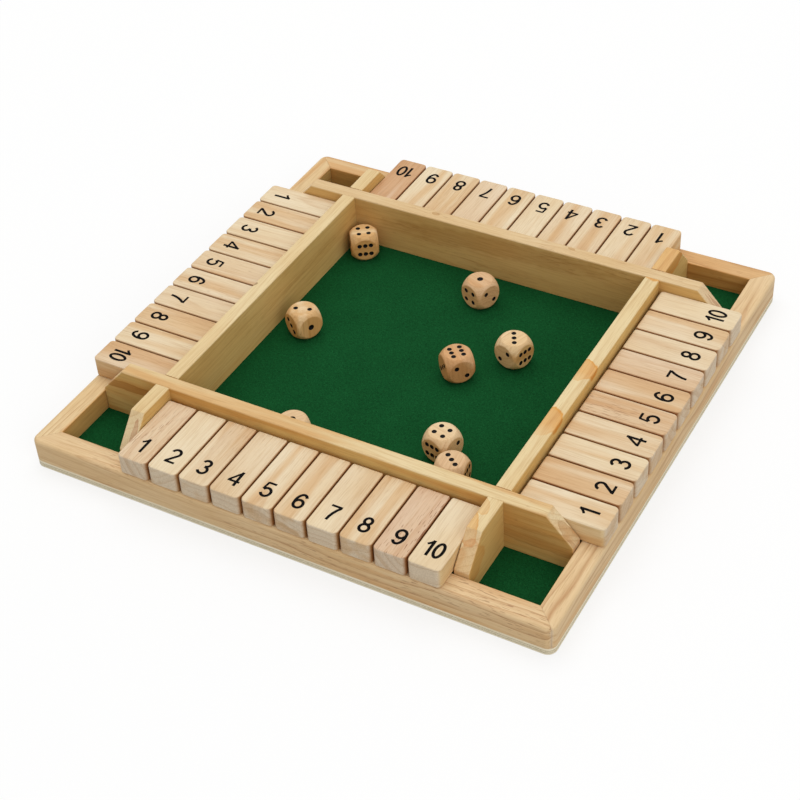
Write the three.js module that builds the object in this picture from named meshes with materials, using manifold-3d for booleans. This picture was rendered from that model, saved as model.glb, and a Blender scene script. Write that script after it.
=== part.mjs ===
// Four-player shut the box game: a square board with a felt floor, a low mitred outer frame,
// four tall inner rails halved over each other, four racks of ten hinged number tiles, and
// eight round-cornered wooden dice lying in the field.
// Millimetres, +Z up. The origin is the middle of the underside, and the near rack, whose
// tiles read 1 to 10 from left to right, lies on the -Y side.

import * as THREE from 'three';
import { mergeVertices } from 'three/addons/utils/BufferGeometryUtils.js';
import Module from 'manifold-3d';

const wasm = await Module();
wasm.setup();

// Base panel and felt lining
const BOARD_SIDE = 330;
const BOARD_CORNER_RADIUS = 5.5;
const PANEL_THICKNESS = 4.5;
const FELT_THICKNESS = 1.8;
const FELT_EDGE_GAP = 0.3;
const GLUE_LINE = 0.1;

// Outer frame: four mitred rails around the board
const FRAME_RAIL_WIDTH = 13.5;
const FRAME_RAIL_HEIGHT = 15;
const FRAME_OUTER_ARRIS_RADIUS = 2.4;
const FRAME_INNER_ARRIS = 0.6;
const MITRE_GROOVE_WIDTH = 0.7;
const MITRE_GROOVE_DEPTH = 0.5;

// Inner rails: they enclose the square field and run on to the outer frame
const INNER_RAIL_THICKNESS = 9.2;
const INNER_RAIL_HEIGHT = 33.2;
const INNER_RAIL_ARRIS_RADIUS = 0.8;
const SLOPE_LENGTH = 15.8;
const NOSE_RISE = 2.7;
const NOSE_RADIUS = 2;
const JOINT_GAP = 0.3;

// Number tiles: each rack fills one side of the field, and the tiles reach out over the frame
const TILE_COUNT = 10;
const TILE_LENGTH = 52.8;
const TILE_THICKNESS = 12.8;
const TILE_SIDE_GAP = 0.9;
const TILE_BACK_GAP = 1;
const TILE_END_INSET = 0.2;
const TILE_REST_GAP = 0.3;
const TILE_BACK_RADIUS = 3.5;
const TILE_CORNER_RADIUS = 3;
const TILE_ARRIS = 0.7;

// Hinge rods
const ROD_DIAMETER = 3;
const ROD_SETBACK = 9;
const ROD_RUNNING_GAP = 0.15;
const ROD_SOCKET_DEPTH = 6;
const ROD_END_GAP = 0.3;

// Dice
const DIE_SIDE = 18;
const DIE_BALL_DIAMETER = 23.6;
const DIE_REST_GAP = 0.3;
const PIP_DIAMETER = 2.4;
const ONE_PIP_DIAMETER = 3.4;
const PIP_DEPTH = 0.8;
const PIP_SPACING = 6.3;
const SIX_ROW_SPACING = 3.7;

// How far a cutting tool runs past the face that it cuts
const OVERRUN = 1;

// Facets of the round stretches
const CORNER_SEGMENTS = 5;
const TILE_CORNER_SEGMENTS = 2;
const SMALL_SEGMENTS = 3;
const ROD_SEGMENTS = 12;
const PIP_SEGMENTS = 6;
const BALL_DETAIL = 3;

// Heights and places that follow from the sizes above
const boardHalf = BOARD_SIDE / 2;
const frameInnerHalf = boardHalf - FRAME_RAIL_WIDTH;
const tileBack = boardHalf - TILE_END_INSET - TILE_LENGTH;
const fieldHalf = tileBack - TILE_BACK_GAP - INNER_RAIL_THICKNESS;
const frameBottom = PANEL_THICKNESS + GLUE_LINE;
const frameTop = frameBottom + FRAME_RAIL_HEIGHT;
const feltBottom = PANEL_THICKNESS + GLUE_LINE;
const feltTop = feltBottom + FELT_THICKNESS;
const innerRailBottom = feltTop + GLUE_LINE;
const innerRailCentre = fieldHalf + INNER_RAIL_THICKNESS / 2;
const tilePitch = 2 * fieldHalf / TILE_COUNT;
const tileWidth = tilePitch - TILE_SIDE_GAP;
const rodDistance = tileBack + ROD_SETBACK;
const rodHeight = frameTop + TILE_REST_GAP + TILE_THICKNESS / 2;
const boreRadius = (ROD_DIAMETER / 2 + ROD_RUNNING_GAP) / Math.cos(Math.PI / ROD_SEGMENTS);

const QUARTER_TURN = Math.PI / 2;
const SIDE_NAMES = ['near', 'right', 'far', 'left'];

// Finishes
const wood = (color, roughness = 0.62) =>
  new THREE.MeshStandardMaterial({ color, roughness, metalness: 0 });
const palePine = wood(0xe6c79b);
const tilePine = wood(0xe8cfa8);
const plywood = wood(0xd9cfb4, 0.75);
const dieWood = wood(0xdfbd92, 0.5);
const felt = new THREE.MeshStandardMaterial({ color: 0x14502a, roughness: 0.95, metalness: 0 });
const steel = new THREE.MeshStandardMaterial({ color: 0xb4b6b8, roughness: 0.35, metalness: 1 });

// A closed solid from a three.js geometry, and a geometry from a solid
function solidOf(geometry) {
  const bare = geometry.clone();
  bare.deleteAttribute('normal');
  bare.deleteAttribute('uv');
  const merged = mergeVertices(bare);
  return new wasm.Manifold(new wasm.Mesh({
    numProp: 3,
    vertProperties: merged.attributes.position.array,
    triVerts: new Uint32Array(merged.index.array),
  }));
}

function geometryOf(solid) {
  const { vertProperties, triVerts } = solid.getMesh();
  const geometry = new THREE.BufferGeometry();
  geometry.setAttribute('position', new THREE.BufferAttribute(vertProperties, 3));
  geometry.setIndex(new THREE.BufferAttribute(triVerts, 1));
  geometry.computeVertexNormals();
  return geometry;
}

// The points that round one corner of an outline with an arc tangent to both its sides
function roundedCorner(before, corner, after) {
  const tip = new THREE.Vector2(corner.x, corner.y);
  if (!corner.radius) {
    return [tip];
  }
  const toBefore = new THREE.Vector2(before.x, before.y).sub(tip).normalize();
  const toAfter = new THREE.Vector2(after.x, after.y).sub(tip).normalize();
  const halfAngle = Math.acos(toBefore.dot(toAfter)) / 2;
  const towardsCentre = toBefore.clone().add(toAfter).normalize();
  const centre = tip.clone().addScaledVector(towardsCentre, corner.radius / Math.sin(halfAngle));
  const start = tip.clone().addScaledVector(toBefore, corner.radius / Math.tan(halfAngle));
  const turn = Math.sign(toAfter.cross(toBefore)) * (Math.PI - 2 * halfAngle);
  const segments = corner.segments ?? SMALL_SEGMENTS;
  return Array.from({ length: segments + 1 }, (_, step) =>
    start.clone().rotateAround(centre, turn * step / segments));
}

// A closed outline through corners given counter-clockwise, each with its own radius
function outline(corners) {
  const count = corners.length;
  return new THREE.Shape(corners.flatMap((corner, i) =>
    roundedCorner(corners[(i + count - 1) % count], corner, corners[(i + 1) % count])));
}

// A rectangle whose four corners share a radius
function rectangle(width, height, radius = 0, segments = CORNER_SEGMENTS) {
  const x = width / 2;
  const y = height / 2;
  return outline([
    { x: -x, y: -y, radius, segments },
    { x, y: -y, radius, segments },
    { x, y, radius, segments },
    { x: -x, y, radius, segments },
  ]);
}

function extrude(shape, depth) {
  return new THREE.ExtrudeGeometry(shape, { depth, bevelEnabled: false });
}

// An outline drawn as length by height, stood up and extruded across the given width
function upright(shape, width) {
  return extrude(shape, width).translate(0, 0, -width / 2).rotateX(QUARTER_TURN);
}

function placed(name, geometry, material, position = [0, 0, 0], turn = 0) {
  const mesh = new THREE.Mesh(geometry, material);
  mesh.name = name;
  mesh.position.set(...position);
  mesh.rotation.z = turn;
  return mesh;
}

// Base panel: a thin plywood square with rounded corners
function basePanel() {
  const plan = rectangle(BOARD_SIDE, BOARD_SIDE, BOARD_CORNER_RADIUS);
  return placed('base_panel', extrude(plan, PANEL_THICKNESS), plywood);
}

// Felt lining: one sheet glued on the panel inside the outer frame, under the inner rails
function feltLining() {
  const side = 2 * (frameInnerHalf - FELT_EDGE_GAP);
  const sheet = extrude(rectangle(side, side), FELT_THICKNESS);
  return placed('felt_lining', sheet, felt, [0, 0, feltBottom]);
}

// Outer frame: four rails glued at their mitres. The upper outer arris is rounded all the way
// round, the upper inner one is broken, and each mitre shows as a fine line.
function outerFrame() {
  const radius = FRAME_OUTER_ARRIS_RADIUS;
  const blankHeight = FRAME_RAIL_HEIGHT + OVERRUN;
  const roundedBlank = new THREE.ExtrudeGeometry(
    rectangle(BOARD_SIDE - 2 * radius, BOARD_SIDE - 2 * radius, BOARD_CORNER_RADIUS - radius),
    {
      depth: blankHeight - radius,
      bevelThickness: radius,
      bevelSize: radius,
      bevelSegments: SMALL_SEGMENTS,
    },
  ).translate(0, 0, -OVERRUN);
  const opening = 2 * frameInnerHalf;
  const openingCut = extrude(rectangle(opening, opening), FRAME_RAIL_HEIGHT + 2 * OVERRUN)
    .translate(0, 0, -OVERRUN);
  const belowCut = new THREE.BoxGeometry(2 * BOARD_SIDE, 2 * BOARD_SIDE, BOARD_SIDE)
    .translate(0, 0, -BOARD_SIDE / 2);
  let frame = solidOf(roundedBlank).subtract(solidOf(openingCut)).subtract(solidOf(belowCut));
  const arrisCut = new THREE.CylinderGeometry(
    (frameInnerHalf + FRAME_INNER_ARRIS + OVERRUN) * Math.SQRT2,
    (frameInnerHalf - OVERRUN) * Math.SQRT2,
    FRAME_INNER_ARRIS + 2 * OVERRUN,
    SIDE_NAMES.length,
  ).rotateX(QUARTER_TURN).rotateZ(QUARTER_TURN / 2)
    .translate(0, 0, FRAME_RAIL_HEIGHT - FRAME_INNER_ARRIS / 2);
  frame = frame.subtract(solidOf(arrisCut));
  const grooveTop = MITRE_GROOVE_DEPTH + OVERRUN;
  const grooveHalf = MITRE_GROOVE_WIDTH / 2 * grooveTop / MITRE_GROOVE_DEPTH;
  const groove = outline([
    { x: 0, y: FRAME_RAIL_HEIGHT - MITRE_GROOVE_DEPTH },
    { x: grooveHalf, y: FRAME_RAIL_HEIGHT + OVERRUN },
    { x: -grooveHalf, y: FRAME_RAIL_HEIGHT + OVERRUN },
  ]);
  const grooveReach = BOARD_SIDE;
  const grooveCut = extrude(groove, grooveReach).rotateX(QUARTER_TURN)
    .translate(0, -frameInnerHalf, 0);
  SIDE_NAMES.forEach((_, i) => {
    frame = frame.subtract(solidOf(grooveCut.clone().rotateZ((i + 1 / 2) * QUARTER_TURN)));
  });
  return placed('outer_frame', geometryOf(frame), palePine, [0, 0, frameBottom]);
}

// One inner rail, lying along X. Its ends slope down to a small nose just above the outer
// frame. Two slots take half its height where it crosses its neighbours: the near and far
// rails are slotted from below and lie over the right and left rails, slotted from above.
// Past each slot a hole takes the end of a hinge rod, from the side that faces the board's
// middle: a blind socket, or right through, so that the rod can be pushed in.
function innerRail(index) {
  const half = frameInnerHalf - JOINT_GAP;
  const height = INNER_RAIL_HEIGHT;
  const noseHeight = frameTop + NOSE_RISE - innerRailBottom;
  const slotHalf = INNER_RAIL_THICKNESS / 2 + JOINT_GAP;
  const liesOver = index % 2 === 0;
  const slot = (centre, direction) => {
    const mouth = liesOver ? 0 : height;
    const seat = height / 2 + (liesOver ? JOINT_GAP : -JOINT_GAP) / 2;
    return [
      { x: centre - direction * slotHalf, y: mouth },
      { x: centre - direction * slotHalf, y: seat },
      { x: centre + direction * slotHalf, y: seat },
      { x: centre + direction * slotHalf, y: mouth },
    ];
  };
  const lowerSlots = liesOver ? [...slot(-innerRailCentre, 1), ...slot(innerRailCentre, 1)] : [];
  const upperSlots = liesOver ? [] : [...slot(innerRailCentre, -1), ...slot(-innerRailCentre, -1)];
  const side = outline([
    { x: -half, y: 0 },
    ...lowerSlots,
    { x: half, y: 0 },
    { x: half, y: noseHeight, radius: NOSE_RADIUS },
    { x: half - SLOPE_LENGTH, y: height },
    ...upperSlots,
    { x: -half + SLOPE_LENGTH, y: height },
    { x: -half, y: noseHeight, radius: NOSE_RADIUS },
  ]);
  const thicknessHalf = INNER_RAIL_THICKNESS / 2;
  const section = outline([
    { x: -thicknessHalf, y: 0 },
    { x: thicknessHalf, y: 0 },
    { x: thicknessHalf, y: height, radius: INNER_RAIL_ARRIS_RADIUS },
    { x: -thicknessHalf, y: height, radius: INNER_RAIL_ARRIS_RADIUS },
  ]);
  const bar = upright(section, 2 * half).rotateZ(QUARTER_TURN);
  let rail = solidOf(upright(side, INNER_RAIL_THICKNESS + 2 * OVERRUN)).intersect(solidOf(bar));
  const runsThrough = index >= SIDE_NAMES.length / 2;
  const depth = runsThrough ? INNER_RAIL_THICKNESS + OVERRUN : ROD_SOCKET_DEPTH;
  const hole = new THREE.CylinderGeometry(boreRadius, boreRadius, depth + OVERRUN, ROD_SEGMENTS)
    .translate(0, thicknessHalf + OVERRUN - (depth + OVERRUN) / 2, rodHeight - innerRailBottom);
  for (const end of [-1, 1]) {
    rail = rail.subtract(solidOf(hole.clone().translate(end * rodDistance, 0, 0)));
  }
  const name = `inner_rail_${SIDE_NAMES[index]}`;
  return placed(name, geometryOf(rail), palePine, [0, -innerRailCentre, innerRailBottom]);
}

// One number tile, with its hinge axis at the origin and its numbered end towards -Y. The
// upper inner edge is rounded far enough to turn past the rail, and the rest is eased.
const tileGeometry = (() => {
  const front = TILE_LENGTH - ROD_SETBACK;
  const halfThickness = TILE_THICKNESS / 2;
  const eased = { radius: TILE_ARRIS, segments: 1 };
  const side = outline([
    { x: -ROD_SETBACK, y: -halfThickness, ...eased },
    { x: front, y: -halfThickness, ...eased },
    { x: front, y: halfThickness, ...eased },
    { x: -ROD_SETBACK, y: halfThickness, radius: TILE_BACK_RADIUS },
  ]);
  const plan = rectangle(tileWidth, TILE_LENGTH, TILE_CORNER_RADIUS, TILE_CORNER_SEGMENTS);
  const section = rectangle(tileWidth, TILE_THICKNESS, TILE_ARRIS, 1);
  const sideBody = upright(side, tileWidth + 2 * OVERRUN).rotateZ(-QUARTER_TURN);
  const planBody = extrude(plan, TILE_THICKNESS + 2 * OVERRUN)
    .translate(0, ROD_SETBACK - TILE_LENGTH / 2, -halfThickness - OVERRUN);
  const sectionBody = upright(section, TILE_LENGTH + 2 * OVERRUN)
    .translate(0, ROD_SETBACK - TILE_LENGTH / 2, 0);
  const bore = new THREE.CylinderGeometry(
    boreRadius,
    boreRadius,
    tileWidth + 2 * OVERRUN,
    ROD_SEGMENTS,
  ).rotateZ(QUARTER_TURN);
  return geometryOf(solidOf(sideBody)
    .intersect(solidOf(planBody))
    .intersect(solidOf(sectionBody))
    .subtract(solidOf(bore)));
})();

// The hinge rod of a rack. It is pushed in from one end, so it lies flush in the rail there
// and bottoms in a socket at the other. The near and left racks are open at their first tile.
function hingeRod(index) {
  const openSide = index === 0 || index === SIDE_NAMES.length - 1 ? -1 : 1;
  const openEnd = fieldHalf + INNER_RAIL_THICKNESS - ROD_END_GAP;
  const socketEnd = fieldHalf + ROD_SOCKET_DEPTH - ROD_END_GAP;
  const length = openEnd + socketEnd;
  const rod = new THREE.CylinderGeometry(
    ROD_DIAMETER / 2,
    ROD_DIAMETER / 2,
    length,
    ROD_SEGMENTS,
  ).rotateZ(QUARTER_TURN);
  const centre = openSide * (openEnd - socketEnd) / 2;
  const name = `hinge_rod_${SIDE_NAMES[index]}`;
  return placed(name, rod, steel, [centre, -rodDistance, rodHeight]);
}

// A rack: ten tiles side by side on their rod, read from outside the board
function rack(index) {
  const tiles = Array.from({ length: TILE_COUNT }, (_, i) => {
    const x = (i + 1 / 2) * tilePitch - fieldHalf;
    const name = `tile_${SIDE_NAMES[index]}_${String(i + 1).padStart(2, '0')}`;
    return placed(name, tileGeometry, tilePine, [x, -rodDistance, rodHeight]);
  });
  return [hingeRod(index), ...tiles];
}

// The faces of a die: the way each number looks, and the pips along its two sides. Opposite
// faces add up to seven, and 1, 2 and 3 run counter-clockwise round their shared corner.
const spread = PIP_SPACING / 2;
const FOUR_CORNERS = [[-spread, -spread], [-spread, spread], [spread, -spread], [spread, spread]];
const DIE_FACES = {
  1: { facing: [0, 0, 1], across: [1, 0, 0], pips: [[0, 0]] },
  2: { facing: [0, -1, 0], across: [1, 0, 0], pips: [[-spread, spread], [spread, -spread]] },
  3: { facing: [1, 0, 0], across: [0, 1, 0], pips: [[-spread, -spread], [0, 0], [spread, spread]] },
  4: { facing: [-1, 0, 0], across: [0, -1, 0], pips: FOUR_CORNERS },
  5: { facing: [0, 1, 0], across: [-1, 0, 0], pips: [[0, 0], ...FOUR_CORNERS] },
  6: {
    facing: [0, 0, -1],
    across: [0, 1, 0],
    pips: [-1, 0, 1].flatMap((step) =>
      [[step * SIX_ROW_SPACING, -spread], [step * SIX_ROW_SPACING, spread]]),
  },
};

// One die: a cube whose corners are turned to a ball, with a drilled dimple for every pip
const dieGeometry = (() => {
  const cube = solidOf(new THREE.BoxGeometry(DIE_SIDE, DIE_SIDE, DIE_SIDE));
  const ball = solidOf(new THREE.IcosahedronGeometry(DIE_BALL_DIAMETER / 2, BALL_DETAIL));
  let die = cube.intersect(ball);
  Object.entries(DIE_FACES).forEach(([value, face]) => {
    const outwards = new THREE.Vector3(...face.facing);
    const across = new THREE.Vector3(...face.across);
    const up = outwards.clone().cross(across);
    const radius = (value === '1' ? ONE_PIP_DIAMETER : PIP_DIAMETER) / 2;
    const drillHeight = PIP_DEPTH + OVERRUN;
    const drill = new THREE.ConeGeometry(radius * drillHeight / PIP_DEPTH, drillHeight, PIP_SEGMENTS)
      .rotateX(-QUARTER_TURN).translate(0, 0, DIE_SIDE / 2 + OVERRUN - drillHeight / 2);
    face.pips.forEach(([x, y]) => {
      const turn = new THREE.Matrix4().makeBasis(across, up, outwards);
      const dimple = drill.clone().translate(x, y, 0).applyMatrix4(turn);
      die = die.subtract(solidOf(dimple));
    });
  });
  return geometryOf(die);
})();

// Where the dice lie: their place as shares of how far a die can lie from the field's middle,
// the turn of the face on their right, and the numbers on top and on that face. A die that lies
// beside the one before it also has its step from that one, as shares of a die's ball.
const DICE = [
  { shares: [-0.994, 0.994], turn: -53.8, top: 4, right: 6 },
  { shares: [-0.913, 0.017], turn: -28.2, top: 2, right: 1 },
  { shares: [0.035, 0.832], turn: -21.4, top: 1, right: 2 },
  { shares: [0.254, 0.053], turn: -42.7, top: 6, right: 2 },
  { shares: [0.533, 0.345], turn: -17.5, top: 3, right: 6 },
  { shares: [0.534, -0.681], turn: -13.8, top: 4, right: 2 },
  { shares: [0.534, -0.681], stepShares: [0.664, -0.789], turn: 8.4, top: 3, right: 6 },
  { shares: [-0.378, -0.988], turn: -35, top: 1, right: 3 },
];

function die(settings, i) {
  const right = new THREE.Vector3(...DIE_FACES[settings.right].facing);
  const top = new THREE.Vector3(...DIE_FACES[settings.top].facing);
  const tumble = new THREE.Matrix4().makeBasis(right, top.clone().cross(right), top).transpose();
  const geometry = dieGeometry.clone().applyMatrix4(tumble);
  const reach = fieldHalf - DIE_BALL_DIAMETER / 2;
  const step = settings.stepShares ?? [0, 0];
  const [x, y] = settings.shares.map((share, axis) =>
    share * reach + step[axis] * DIE_BALL_DIAMETER);
  const height = feltTop + DIE_REST_GAP + DIE_SIDE / 2;
  const turn = THREE.MathUtils.degToRad(settings.turn);
  return placed(`die_${i + 1}`, geometry, dieWood, [x, y, height], turn);
}

const game = new THREE.Group();
game.add(basePanel(), feltLining(), outerFrame(), ...DICE.map(die));
SIDE_NAMES.forEach((_, index) => {
  const side = new THREE.Group();
  side.rotation.z = index * QUARTER_TURN;
  side.add(innerRail(index), ...rack(index));
  game.add(side);
});

export default game;
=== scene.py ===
"""A four-player shut the box game: felt-floored board, halved inner rails, racks of hinged number
tiles and ball-cornered dice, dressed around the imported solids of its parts."""

import math
import random

import bmesh
import bpy
from mathutils import Matrix, Vector


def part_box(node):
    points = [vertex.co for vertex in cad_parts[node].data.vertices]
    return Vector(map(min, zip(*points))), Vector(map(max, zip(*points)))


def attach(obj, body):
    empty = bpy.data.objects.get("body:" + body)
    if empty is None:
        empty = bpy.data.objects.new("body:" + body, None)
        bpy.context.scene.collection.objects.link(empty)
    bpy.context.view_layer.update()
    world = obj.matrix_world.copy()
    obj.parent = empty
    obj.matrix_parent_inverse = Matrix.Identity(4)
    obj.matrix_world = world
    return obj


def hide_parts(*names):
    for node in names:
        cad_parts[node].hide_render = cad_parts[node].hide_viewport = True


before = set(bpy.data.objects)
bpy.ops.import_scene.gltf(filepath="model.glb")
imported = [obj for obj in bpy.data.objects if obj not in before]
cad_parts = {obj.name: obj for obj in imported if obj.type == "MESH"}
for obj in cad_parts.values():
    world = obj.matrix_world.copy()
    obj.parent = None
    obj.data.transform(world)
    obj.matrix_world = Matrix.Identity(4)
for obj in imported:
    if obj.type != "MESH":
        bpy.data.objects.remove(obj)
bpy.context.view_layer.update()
MM = 0.001

# Camera: a long lens that looks down on the near right corner, a little off level.
CAMERA_AZIMUTH = math.radians(31.32)
CAMERA_ELEVATION = math.radians(40.64)
CAMERA_ROLL = math.radians(-3.78)
CAMERA_DISTANCE = 1015.4 * MM
CAMERA_TARGET = Vector((-1.2, -23.55, 0)) * MM
CAMERA_LENS = 76.54

towards_camera = Vector((
    math.sin(CAMERA_AZIMUTH) * math.cos(CAMERA_ELEVATION),
    -math.cos(CAMERA_AZIMUTH) * math.cos(CAMERA_ELEVATION),
    math.sin(CAMERA_ELEVATION),
))
camera = bpy.data.objects.new("camera", bpy.data.cameras.new("camera"))
camera.data.lens = CAMERA_LENS
camera.location = CAMERA_TARGET + CAMERA_DISTANCE * towards_camera
camera.rotation_euler = (
    towards_camera.to_track_quat("Z", "Y").to_matrix() @ Matrix.Rotation(CAMERA_ROLL, 3, "Z")
).to_euler()
bpy.context.scene.collection.objects.link(camera)
bpy.context.scene.camera = camera
bpy.context.scene.view_settings.view_transform = "Standard"

# Studio: a white floor that keeps a soft shadow, an even white room, one wide lamp overhead and
# a weak one in front. Floor and room are white to the eye, and light the board with less. A lamp
# has its side in metres, its power in watts and its place.
FLOOR_SIDE = 30
FLOOR_WHITE = "#fdfdfc"
FLOOR_BOUNCE = "#c4c4c1"
FLOOR_GLOW_SHARE = 0.72
ROOM_STRENGTH = 0.58
LAMPS = [
    ("overhead lamp", 2.2, 24, (-0.45, 0.5, 2.2)),
    ("front lamp", 1.4, 12, (1.8, -1.1, 1.2)),
]


def linear(hex_colour):
    """The linear colour of an sRGB hex colour."""
    channels = [int(hex_colour[i:i + 2], 16) / 255 for i in (1, 3, 5)]
    return (*(c / 12.92 if c <= 0.04045 else ((c + 0.055) / 1.055) ** 2.4 for c in channels), 1)


def add(tree, kind, sockets=None, stops=None, **settings):
    """Add a node. A socket takes a value, an output to link or a node whose first output is
    linked, and stops are a ramp's colours."""
    node = tree.nodes.new(kind)
    for name, value in settings.items():
        setattr(node, name, value)
    for key, value in (sockets or {}).items():
        value = value.outputs[0] if isinstance(value, bpy.types.Node) else value
        if isinstance(value, bpy.types.NodeSocket):
            tree.links.new(value, node.inputs[key])
        else:
            node.inputs[key].default_value = value
    if stops:
        elements = node.color_ramp.elements
        while len(elements) < len(stops):
            elements.new(1)
        for element, (position, colour) in zip(elements, stops):
            element.position = position
            element.color = linear(colour)
    return node


def bare_tree(owner):
    """The emptied node tree of a new material or world."""
    owner.use_nodes = True
    owner.node_tree.nodes.clear()
    return owner.node_tree


def seen_directly(tree):
    """1 for a ray from the camera or from a gloss or glass, and 0 for one that carries light."""
    path = add(tree, "ShaderNodeLightPath").outputs
    glossy = add(tree, "ShaderNodeMath", {0: path["Is Camera Ray"], 1: path["Is Glossy Ray"]})
    return add(tree, "ShaderNodeMath", {0: glossy, 1: path["Is Transmission Ray"]}, use_clamp=True)


room = bpy.data.worlds.new("white room")
bpy.context.scene.world = room
tree = bare_tree(room)
strength = add(tree, "ShaderNodeMath", operation="MULTIPLY_ADD", sockets={
    0: seen_directly(tree), 1: 1 - ROOM_STRENGTH, 2: ROOM_STRENGTH})
background = add(tree, "ShaderNodeBackground", {"Strength": strength})
background.inputs["Color"].default_value = (1, 1, 1, 1)
add(tree, "ShaderNodeOutputWorld", {"Surface": background})

floor_paint = bpy.data.materials.new("white floor paint")
tree = bare_tree(floor_paint)
direct = seen_directly(tree)
colour = add(tree, "ShaderNodeMix", data_type="RGBA", sockets={
    0: direct, 6: linear(FLOOR_BOUNCE), 7: linear(FLOOR_WHITE)})
diffuse = add(tree, "ShaderNodeBsdfDiffuse", {"Color": colour.outputs[2]})
glow = add(tree, "ShaderNodeEmission", {"Color": (1, 1, 1, 1), "Strength": 1})
glow_share = add(tree, "ShaderNodeMath", {0: direct, 1: FLOOR_GLOW_SHARE}, operation="MULTIPLY")
glowing = add(tree, "ShaderNodeMixShader", {0: glow_share, 1: diffuse, 2: glow})
add(tree, "ShaderNodeOutputMaterial", {"Surface": glowing})

floor_mesh = bpy.data.meshes.new("floor")
corners = [(x * FLOOR_SIDE / 2, y * FLOOR_SIDE / 2, 0)
           for x, y in ((-1, -1), (1, -1), (1, 1), (-1, 1))]
floor_mesh.from_pydata(corners, [], [(0, 1, 2, 3)])
floor_mesh.materials.append(floor_paint)
floor = bpy.data.objects.new("floor", floor_mesh)
bpy.context.scene.collection.objects.link(floor)

for name, side, power, place in LAMPS:
    lamp = bpy.data.objects.new(name, bpy.data.lights.new(name, "AREA"))
    lamp.data.size = side
    lamp.data.energy = power
    lamp.location = place
    lamp.rotation_euler = lamp.location.to_track_quat("Z", "Y").to_euler()
    bpy.context.scene.collection.objects.link(lamp)

# Base panel: three-ply poplar plywood, sawn square with rounded corners. The frame is glued on
# it, flush all round, so it shows as a pale striped edge and as the underside.
PANEL_CORNER_RADIUS = 5.5 * MM
PANEL_ARRIS = 0.4 * MM
PLY_COUNT = 3
PLY_GRAIN_WIDTH = 0.9 * MM
PLY_GRAIN_LENGTH = 30 * MM
PLY_FACE_PALE = "#fbf1d8"
PLY_FACE_DARK = "#ebdcb8"
PLY_CORE_PALE = "#efe3c8"
PLY_CORE_DARK = "#dccdab"
PLY_GLUE = "#837c5d"
PLY_GLUE_SHARE = 0.02
PLY_RELIEF = 0.1 * MM
BLACK = "#000000"
WHITE = "#ffffff"
ROUND_STEPS = 12
SAME_POINT = 0.001 * MM


def arc(centre, radius, start, end, steps=ROUND_STEPS):
    """Points along a circle, in degrees from +X towards +Y."""
    angles = [math.radians(start + (end - start) * i / steps) for i in range(steps + 1)]
    return [(centre[0] + radius * math.cos(a), centre[1] + radius * math.sin(a)) for a in angles]


def rounded_rectangle(low, high, radius, steps=ROUND_STEPS):
    """The outline of a rectangle with rounded corners, counter-clockwise."""
    left, bottom = low[0] + radius, low[1] + radius
    right, top = high[0] - radius, high[1] - radius
    return [
        *arc((left, bottom), radius, 180, 270, steps),
        *arc((right, bottom), radius, 270, 360, steps),
        *arc((right, top), radius, 0, 90, steps),
        *arc((left, top), radius, 90, 180, steps),
    ]


def loft(rings, closed=False):
    """A closed mesh through rings of points. Its ends are flat, or it runs round into itself."""
    count = len(rings[0])
    faces = []
    for ring in range(len(rings) if closed else len(rings) - 1):
        here, there = ring * count, (ring + 1) % len(rings) * count
        for i in range(count):
            j = (i + 1) % count
            faces.append((here + i, here + j, there + j, there + i))
    if not closed:
        faces += [range(count), range((len(rings) - 1) * count, len(rings) * count)]
    mesh = bpy.data.meshes.new("loft")
    mesh.from_pydata([point for ring in rings for point in ring], [], [tuple(f) for f in faces])
    return cleaned(mesh)


def cleaned(mesh):
    """Merge doubled points, drop faces without area and point every face outwards."""
    work = bmesh.new()
    work.from_mesh(mesh)
    bmesh.ops.remove_doubles(work, verts=work.verts, dist=SAME_POINT)
    bmesh.ops.dissolve_degenerate(work, edges=work.edges, dist=SAME_POINT)
    bmesh.ops.recalc_face_normals(work, faces=work.faces)
    work.to_mesh(mesh)
    work.free()
    return mesh


def eased(size, radius, steps=4):
    """How far a rounded arris draws in at each height of a body of that size: (height, inset)."""
    foot = [(y, radius - x) for x, y in arc((0, radius), radius, 270, 360, steps)]
    return [*foot, *[(size - height, inset) for height, inset in reversed(foot)]]


def show(name, mesh, material, body, slot, *nodes, crease=35, flat_width=1.5 * MM):
    """Put a finished mesh in the scene, where it rides a body and stands for the solids named.
    Faces wider than flat_width are planed flat, and the narrow ones round them are smooth."""
    mesh.shade_smooth()
    mesh.set_sharp_from_angle(angle=math.radians(crease))
    if flat_width:
        for face in mesh.polygons:
            corners = [mesh.vertices[i].co for i in face.vertices]
            longest = max((a - b).length for a, b in zip(corners, corners[1:] + corners[:1]))
            face.use_smooth = face.area < flat_width * longest
    if material:
        mesh.materials.append(material)
    mesh.name = name
    piece = bpy.data.objects.new(name, mesh)
    bpy.context.scene.collection.objects.link(piece)
    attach(piece, body)
    if nodes:
        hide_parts(*nodes)
    return piece


low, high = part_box("base_panel")
panel_rings = [
    [(x, y, low.z + height) for x, y in rounded_rectangle(
        (low.x + inset, low.y + inset), (high.x - inset, high.y - inset),
        PANEL_CORNER_RADIUS - inset)]
    for height, inset in eased(high.z - low.z, PANEL_ARRIS)
]

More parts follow.
